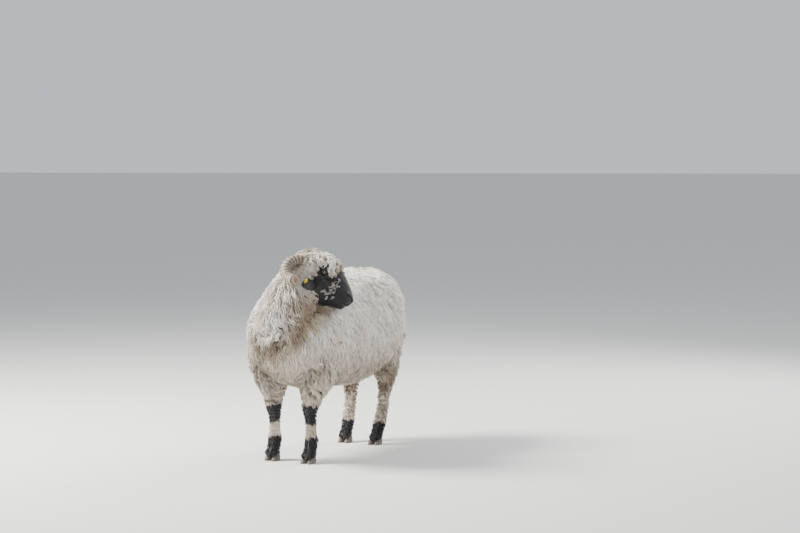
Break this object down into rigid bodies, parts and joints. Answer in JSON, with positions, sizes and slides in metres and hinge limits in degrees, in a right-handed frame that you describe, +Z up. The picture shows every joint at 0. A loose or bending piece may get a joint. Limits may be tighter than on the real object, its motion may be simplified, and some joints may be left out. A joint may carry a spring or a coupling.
{
  "type": "valais blacknose sheep",
  "caption": "Life-size horned black-nosed mountain sheep, standing in shaggy fleece with its head turned over its left shoulder.",
  "frame": {"origin": "on the floor, under the middle of the whole sheep's bounding box", "axes": "+Z up, -Y the way the body faces, +X the sheep's left"},
  "size_m": [0.5003, 1.0681, 0.9075],
  "materials": {
    "claw": "worn matt hoof horn",
    "black_face": "short matt black fur on skin",
    "ear_tag": "plain yellow tag, satin",
    "eye": "wet gloss",
    "fleece": "matt wool, stands in for a fleece",
    "horn": "satin ridged horn"
  },
  "bodies": {
    "root": {"claw_foreleg_left_inner": "claw", "claw_foreleg_left_outer": "claw", "claw_foreleg_right_inner": "claw", "claw_foreleg_right_outer": "claw", "claw_hindleg_left_inner": "claw", "claw_hindleg_left_outer": "claw", "claw_hindleg_right_inner": "claw", "claw_hindleg_right_outer": "claw", "ear_left": "black_face", "ear_right": "black_face", "ear_tag": "ear_tag", "eye_left": "eye", "eye_right": "eye", "foreleg_left": "fleece", "foreleg_right": "fleece", "head": "black_face", "hindleg_left": "fleece", "hindleg_right": "fleece", "horn_left": "horn", "horn_right": "horn", "neck": "fleece", "tail": "fleece", "topknot": "fleece", "torso": "fleece"}
  },
  "joints": []
}
